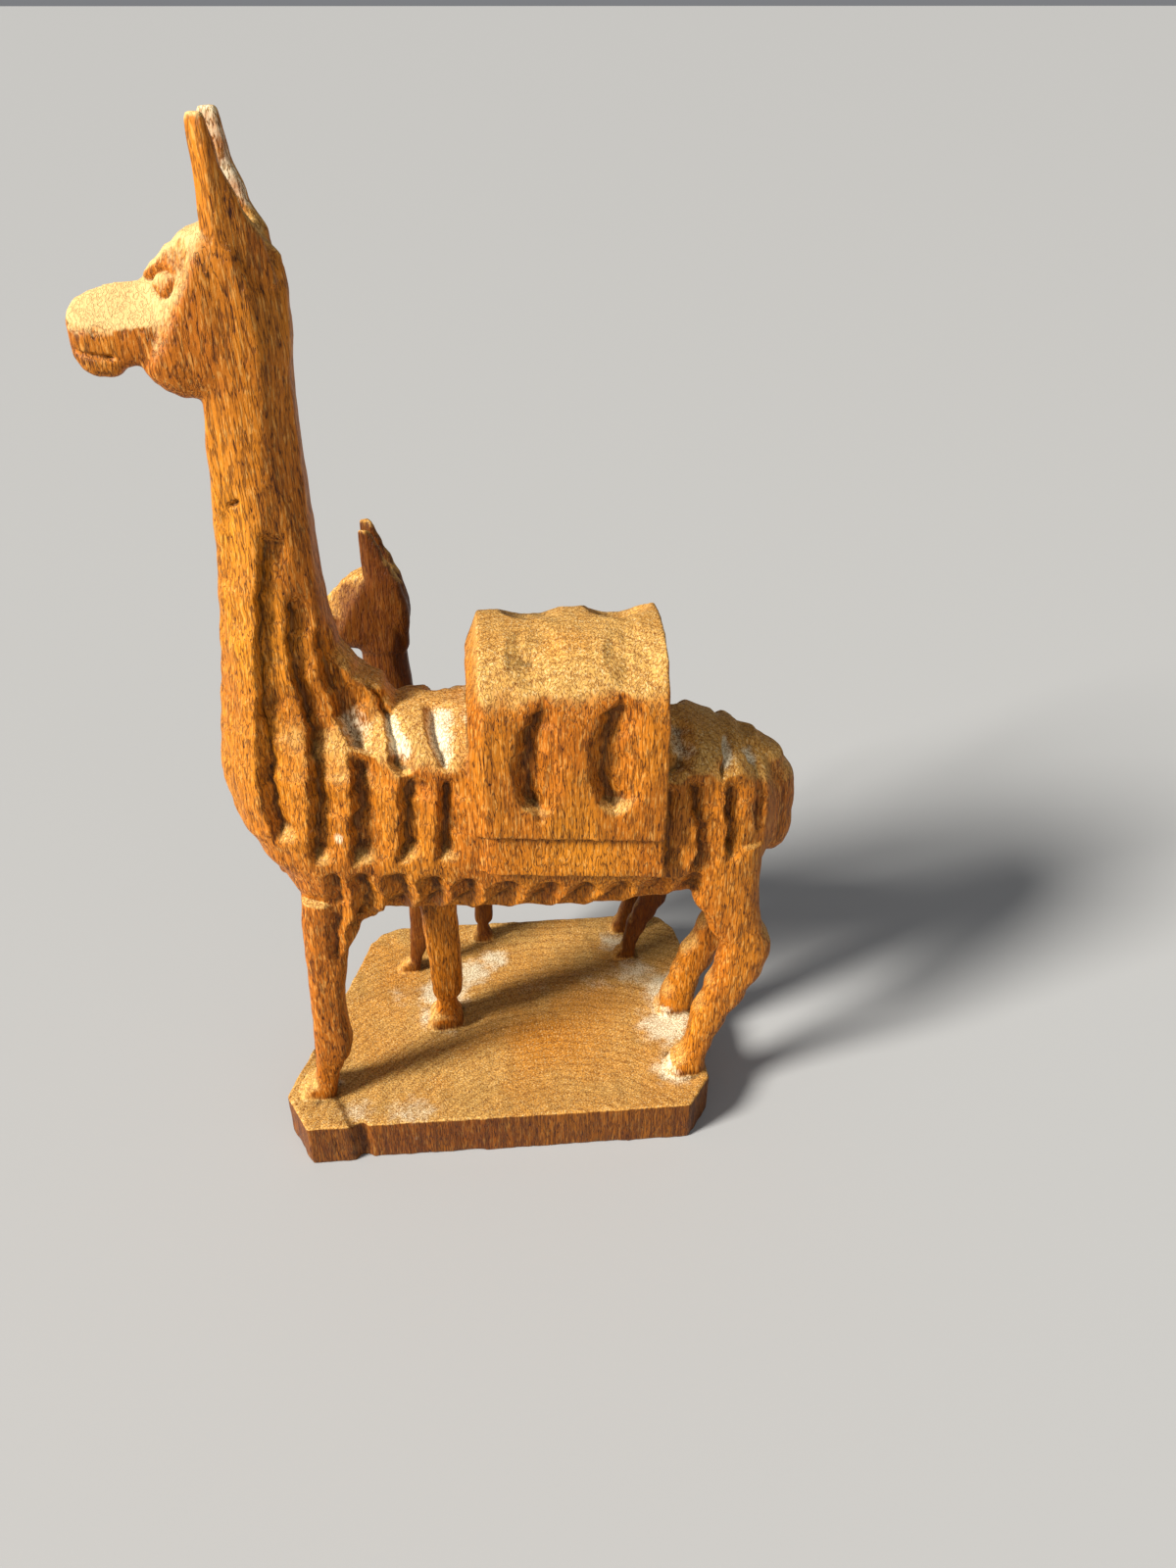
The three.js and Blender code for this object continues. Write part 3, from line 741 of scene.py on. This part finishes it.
def packDepths(points, normals):
    depths = np.zeros(len(points))
    for side, look in ((-1, "near"), (1, "far")):
        for x, aside, z, wide, tall, depth in dishes[look]:
            facing = (0, side * 0.5, 0.87)
            spot = (x, middle + side * aside, z)
            depths = np.maximum(depths, dishDepth(points, normals, spot, facing, (0, 0, 1), (wide, tall), depth, 0.2))
    return depths


carving = {
    "voxel": 0.36,
    "triangles": 190000,
}

grids = animalSkins()
grids += [toYoung(grid) for grid in animalSkins()] + list(youngEarSkins())
grids += packSkins() + [baseSkin()]
print("forms worked out:", len(grids))

mesh = joinedMesh(grids, carving["voxel"])
edges = readEdges(mesh)
points = smoothed(readPoints(mesh), edges, 4)
mesh.vertices.foreach_set("co", points.ravel())
mesh.update()
print("one skin:", len(mesh.vertices), "points")

block = bpy.data.objects.new("block", mesh)
bpy.context.scene.collection.objects.link(block)
bpy.context.view_layer.update()
normals = smoothed(vertexNormals(mesh), edges, 8)
normals /= np.linalg.norm(normals, axis=1)[:, None]
depths = woolDepths(points, normals, block)
depths = np.maximum(depths, packDepths(points, normals))
points = points - normals * depths[:, None]
points = points + normals * handWork(points, depths)[:, None]
points = smoothed(points, edges, 1, 0.25)
print("cut")

mesh.vertices.foreach_set("co", points.ravel())
cutLayer = mesh.attributes.new("cut", "FLOAT", "POINT")
cutLayer.data.foreach_set("value", depths)
mesh.update()
thin = block.modifiers.new("fewer faces", "DECIMATE")
thin.ratio = min(1, carving["triangles"] / (len(mesh.loops) - 2 * len(mesh.polygons)))
mesh = appliedMesh(block)
print("triangles:", len(mesh.loops) - 2 * len(mesh.polygons))

points = readPoints(mesh)
edges = readEdges(mesh)
normals = vertexNormals(mesh)


def writeAttribute(name, values):
    layer = mesh.attributes.new(name, "FLOAT", "POINT")
    layer.data.foreach_set("value", np.asarray(values, float))


def nearAny(spots, x, y):
    # Strongest of round patches: x, y, radius and strength, each fading out over its radius
    patches = [strength * np.exp(-((x - px) ** 2 + (y - py) ** 2) / radius ** 2) for px, py, radius, strength in spots]
    return np.max(patches, 0)


patches = {
    # pale dust and worn spots on the base and on the animals, painted warm light on the animals' neck front, chest and
    # pack band where the key light falls, and more orange spots on the base: place, radius and strength
    "baseDust": [
        (-15, 8, 7, 0.9), (-8, 15, 6, 0.8), (-2, 20, 5, 0.7), (-18, 0, 5, 0.6), (-14, -4, 4, 0.5), (40, -8, 8, 0.8),
        (42, 4, 8, 0.8), (40, -22, 6, 0.8), (34, 12, 7, 0.6), (30, 24, 5, 0.6), (-40, -20, 4, 0.4), (-26, 8, 7, 0.35),
        (8, 9, 9, 0.3), (24, 9, 9, 0.35), (-22, -31, 9, 0.5), (-34, -29, 6, 0.5),
    ],
    "woolDust": [
        (-16.4, 104, 5, 1), (-8, 103, 6, 1), (-3.4, 106, 3, 1), (-25, 106, 5, 0.75), (-29, 116, 4, 0.3),
        (-35.6, 86.4, 1.8, 0.9), (-29.6, 85, 2, 0.9), (38, 98.4, 5, 0.55), (47.2, 96, 2.6, 1), (52.6, 94.8, 3, 0.9),
        (-37.9, 196, 1.5, 1), (-0.4, 92, 3, 0.5), (0.6, 98.6, 1.6, 0.5), (45, 16, 4, 0.6), (-42, 120, 3, 0.2),
        (-30.6, 96, 3, 0.4), (-38.6, 96, 3, 0.45), (36, 79, 3, 0.4), (43, 76, 3, 0.5), (49, 84, 3, 0.4),
    ],
    "warmLightAndTint": [(-48, 98, 14, 1), (-44, 124, 12, 0.9), (-42, 146, 12, 0.8), (-36, 88, 10, 0.8), (14, 80, 12, 0.7)],
    "baseWarm": [(10, -9, 12, 0.8), (-30, 18, 9, 0.5), (20, 0, 10, 0.4)],
}
soft = smoothed(normals, edges, 6)
# hollow: how far each point lies below its smoothed neighbours; the wood uses it for painted shade and dirt in creases
# and cuts
hollow = ((smoothed(points, edges, 24) - points) * normals).sum(1)
cutHere = np.empty(len(points))
mesh.attributes["cut"].data.foreach_get("value", cutHere)
x, y, z = points.T
onBase = smoothstep(13.4, 11.4, z)
isYoung = smoothstep(9.5, 12.5, y) * smoothstep(11.5, 13, z)
woolDust = nearAny(patches["woolDust"], x, z) * (1 - isYoung) * (0.45 + 0.55 * smoothstep(0.1, 0.9, cutHere))
dust = np.where(z < 13.4, nearAny(patches["baseDust"], x, y), woolDust)
# painted light: the animals' patches turn the lit neck front, chest and pack band a brighter, warmer orange; the base's
# patches make its top more orange
warmLightAndTint = np.where(z < 13.4, nearAny(patches["baseWarm"], x, y), nearAny(patches["warmLightAndTint"], x, z) * (1 - isYoung))
farEarInside = smoothstep(190, 196, z) * smoothstep(-9.6, -8.6, y) * (normals[:, 1] < -0.2)
writeAttribute("upward", soft[:, 2])
writeAttribute("hollow", hollow)
writeAttribute("young", isYoung)
writeAttribute("onBase", onBase)
writeAttribute("dust", np.maximum(dust, farEarInside * 0.7))
writeAttribute("warmLightAndTint", warmLightAndTint)
writeAttribute("pared", smoothstep(-38.6, -40.4, x - 0.55 * (z - 190)) * smoothstep(160, 168, z) * (1 - isYoung))

points[:, 0] -= lengthCentre
mesh.vertices.foreach_set("co", (points * millimetre).ravel())
mesh.update()
piece = bpy.data.objects.new("carved_llama", mesh)
bpy.context.scene.collection.objects.link(piece)
mesh.polygons.foreach_set("use_smooth", np.ones(len(mesh.polygons), bool))
mesh.set_sharp_from_angle(angle=np.radians(50))

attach(piece, "root")
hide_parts("llama_group_carving")

class Socket:
    # Wraps a node's output so that sums, products and powers of values add their Math nodes
    tree = None

    def __init__(self, output):
        self.output = output

    @classmethod
    def node(cls, kind, settings, inputs, output=0):
        # Adds a node: settings first, then values or links by the name or number of each socket
        made = cls.tree.nodes.new(kind)
        for name, value in settings.items():
            setattr(made, name, value)
        for key, value in inputs.items():
            if isinstance(value, Socket):
                cls.tree.links.new(value.output, made.inputs[key])
            else:
                made.inputs[key].default_value = value
        return cls(made.outputs[output])

    def maths(self, operation, *others):
        return Socket.node("ShaderNodeMath", {"operation": operation}, dict(enumerate((self, *others))))

    def __add__(self, other):
        return self.maths("ADD", other)

    def __radd__(self, other):
        return Socket.node("ShaderNodeMath", {"operation": "ADD"}, {0: other, 1: self})

    def __sub__(self, other):
        return self.maths("SUBTRACT", other)

    def __rsub__(self, other):
        return Socket.node("ShaderNodeMath", {"operation": "SUBTRACT"}, {0: other, 1: self})

    def __mul__(self, other):
        return self.maths("MULTIPLY", other)

    def __rmul__(self, other):
        return Socket.node("ShaderNodeMath", {"operation": "MULTIPLY"}, {0: other, 1: self})


def ramp(value, low, high):
    # From 0 at low to 1 at high, smooth in between
    inputs = {"Value": value, "From Min": low, "From Max": high}
    return Socket.node("ShaderNodeMapRange", {"interpolation_type": "SMOOTHSTEP"}, inputs)


def blend(mask, below, above):
    # One colour over another by a mask
    return Socket.node("ShaderNodeMix", {"data_type": "RGBA"}, {0: mask, 6: below, 7: above}, 2)


def grain(place, stretch, scale, detail, roughness):
    # Noise in millimetres, drawn out along the block's upright grain
    scaled = Socket.node("ShaderNodeVectorMath", {"operation": "MULTIPLY"}, {0: place, 1: (1000, 1000, 1000 * stretch)})
    inputs = {"Vector": scaled, "Scale": scale, "Detail": detail, "Roughness": roughness}
    return Socket.node("ShaderNodeTexNoise", {}, inputs)


def shown(name):
    return Socket.node("ShaderNodeAttribute", {"attribute_name": name}, {}, 2)


def paint(code):
    # A colour from its screen value, as the shader wants it
    parts = np.array([int(code[i:i + 2], 16) for i in (1, 3, 5)]) / 255
    linear = np.where(parts > 0.04045, ((parts + 0.055) / 1.055) ** 2.4, parts / 12.92)
    return (*linear, 1)


wood = {
    "side": "#B4640F",
    "sideDark": "#3C1803",
    "sideWarm": "#D6851A",
    "fleck": "#F0B35C",
    "top": "#D2A052",
    "topDark": "#7E4A18",
    "topWarm": "#CF8420",
    "topLight": "#EBCF94",
    "paredFace": "#E6BE7C",
    "dust": "#F1E2BE",
    "dustDark": "#A9834C",
    "baseEdge": "#421D08",
    "hollowShadeAndDirt": "#1E0C03",
    "youngSide": "#4A2009",
    "pith": (0.012, -0.052, 0),
}

material = bpy.data.materials.new("carved_wood")
material.use_nodes = True
material.node_tree.nodes.clear()
Socket.tree = material.node_tree
place = Socket.node("ShaderNodeTexCoord", {}, {}, 3)
fibres = grain(place, 0.12, 1.5, 2, 0.5)
pores = grain(place, 0.16, 2.4, 2, 0.6)
streaks = grain(place, 0.04, 0.8, 4, 0.7)
broad = grain(place, 0.45, 0.07, 3, 0.6)
patchy = grain(place, 0.8, 0.35, 4, 0.65)
upward, hollow, isYoung = shown("upward"), shown("hollow"), shown("young")
onBase, dusty, warmLightAndTint, paredFace = shown("onBase"), shown("dust"), shown("warmLightAndTint"), shown("pared")

# growth rings: a sine of the distance from the pith, which lies in front of the carving
fromPith = Socket.node("ShaderNodeVectorMath", {"operation": "SUBTRACT"}, {0: place, 1: wood["pith"]})
flat = Socket.node("ShaderNodeVectorMath", {"operation": "MULTIPLY"}, {0: fromPith, 1: (1, 1, 0)})
radius = Socket.node("ShaderNodeVectorMath", {"operation": "LENGTH"}, {0: flat}, 1)
rings = ((radius * 2600 + (broad + patchy * 0.5) * 9).maths("SINE"))

fibreLines = 1 - ramp((fibres - 0.5).maths("ABSOLUTE"), 0.012, 0.06)
poreMask = ramp(pores, 0.56, 0.68)
fleckMask = ramp(pores, 0.46, 0.34)
streakMask = ramp(streaks, 0.36, 0.62)
broadMask = ramp(broad, 0.38, 0.62)
topMask = ramp(upward + (pores - 0.5) * 0.5 + (patchy - 0.5) * 0.5, 0.22, 0.52)

# painted light: the warm patches turn lit sides a brighter orange
side = blend(broadMask * 0.5 + warmLightAndTint * 0.6, paint(wood["side"]), paint(wood["sideWarm"]))
side = blend(fleckMask * 0.45, side, paint(wood["fleck"]))
side = blend(fibreLines * 0.5 + poreMask * 0.45 + (1 - streakMask) * 0.25, side, paint(wood["sideDark"]))
side = blend(isYoung * 0.78, side, paint(wood["youngSide"]))
side = blend(onBase * (0.45 + 0.4 * streakMask), side, paint(wood["baseEdge"]))
# painted light: the warm patches turn lit tops a warmer orange
top = blend(broadMask * 0.4 + warmLightAndTint * 0.7, paint(wood["top"]), paint(wood["topWarm"]))
top = blend(fleckMask * 0.6, top, paint(wood["topLight"]))
top = blend(fibreLines * 0.55 + poreMask * 0.5 + ramp(rings, 0.3, 1) * 0.22, top, paint(wood["topDark"]))
body = blend(topMask, side, top)
# painted shade and dirt: hollows, creases and cuts darkened towards near black, standing in for the shade that falls in
# them as well as dirt
body = blend(ramp(hollow, 0.14, 0.5) * 0.6, body, paint(wood["hollowShadeAndDirt"]))
body = blend(paredFace * topMask * (1 - fibreLines * 0.2) * 0.85, body, paint(wood["paredFace"]))
dustMask = ramp(dusty + (patchy - 0.5) * 0.8 + (upward - 0.6) * 0.3 - fibreLines * 0.12, 0.35, 0.8)
dust = blend(fibreLines * 0.6 + poreMask * 0.3, paint(wood["dust"]), paint(wood["dustDark"]))
body = blend(dustMask * 0.85, body, dust)

height = patchy * 1.2 + pores * -0.6 + streaks * 0.5 - fibreLines * 0.5
bump = Socket.node("ShaderNodeBump", {}, {"Strength": 0.9, "Distance": 0.0002, "Height": height})
rough = 0.5 + 0.2 * topMask + 0.15 * dustMask
finish = {"Base Color": body, "Roughness": rough, "Normal": bump, "Specular IOR Level": 0.22}
shader = Socket.node("ShaderNodeBsdfPrincipled", {}, finish)
output = material.node_tree.nodes.new("ShaderNodeOutputMaterial")
material.node_tree.links.new(shader.output, output.inputs["Surface"])
mesh.materials.append(material)
print("wood made")

floorMesh = bpy.data.meshes.new("floor")
floorMesh.from_pydata([(-60, -60, 0), (60, -60, 0), (60, 60, 0), (-60, 60, 0)], [], [(0, 1, 2, 3)])
floor = bpy.data.objects.new("floor", floorMesh)
bpy.context.scene.collection.objects.link(floor)
floorMaterial = bpy.data.materials.new("pale_floor")
floorMaterial.use_nodes = True
floorMaterial.node_tree.nodes["Principled BSDF"].inputs["Base Color"].default_value = (0.42, 0.42, 0.41, 1)
floorMaterial.node_tree.nodes["Principled BSDF"].inputs["Roughness"].default_value = 0.7
floorMesh.materials.append(floorMaterial)

bpy.context.scene.view_settings.view_transform = "Standard"
world = bpy.data.worlds.new("studio")
bpy.context.scene.world = world
world.use_nodes = True
world.node_tree.nodes["Background"].inputs["Color"].default_value = (0.93, 0.95, 1, 1)
world.node_tree.nodes["Background"].inputs["Strength"].default_value = 0.22

def areaLight(name, place, aim, size, power, colour):
    light = bpy.data.lights.new(name, "AREA")
    light.shape = "DISK"
    light.size = size
    light.energy = power
    light.color = colour
    lamp = bpy.data.objects.new(name, light)
    lamp.location = place
    lamp.rotation_euler = (Vector(aim) - Vector(place)).to_track_quat("-Z", "Y").to_euler()
    bpy.context.scene.collection.objects.link(lamp)


sun = bpy.data.lights.new("key", "SUN")
sun.energy = 7
sun.angle = np.radians(16)
sun.color = (1, 0.97, 0.93)
window = bpy.data.objects.new("key", sun)
window.rotation_euler = Vector((0.76, 0.36, -0.56)).to_track_quat("-Z", "Y").to_euler()
bpy.context.scene.collection.objects.link(window)
areaLight("fill", (0.4, -0.8, 0.5), (0, 0, 0.1), 0.8, 1, (0.95, 0.97, 1))

view = {
    "place": (0.001, -0.214, 0.221),
    "direction": (0.0754, 0.8286, -0.5548),
    "lens": 27,
    "sensor": 36,
}
camera = bpy.data.cameras.new("camera")
camera.lens = view["lens"]
camera.sensor_width = view["sensor"]
camera.sensor_height = view["sensor"]
camera.sensor_fit = "AUTO"
camera.clip_start = 0.01
viewer = bpy.data.objects.new("camera", camera)
viewer.location = view["place"]
viewer.rotation_euler = Vector(view["direction"]).to_track_quat("-Z", "Y").to_euler()
bpy.context.scene.collection.objects.link(viewer)
bpy.context.scene.camera = viewer
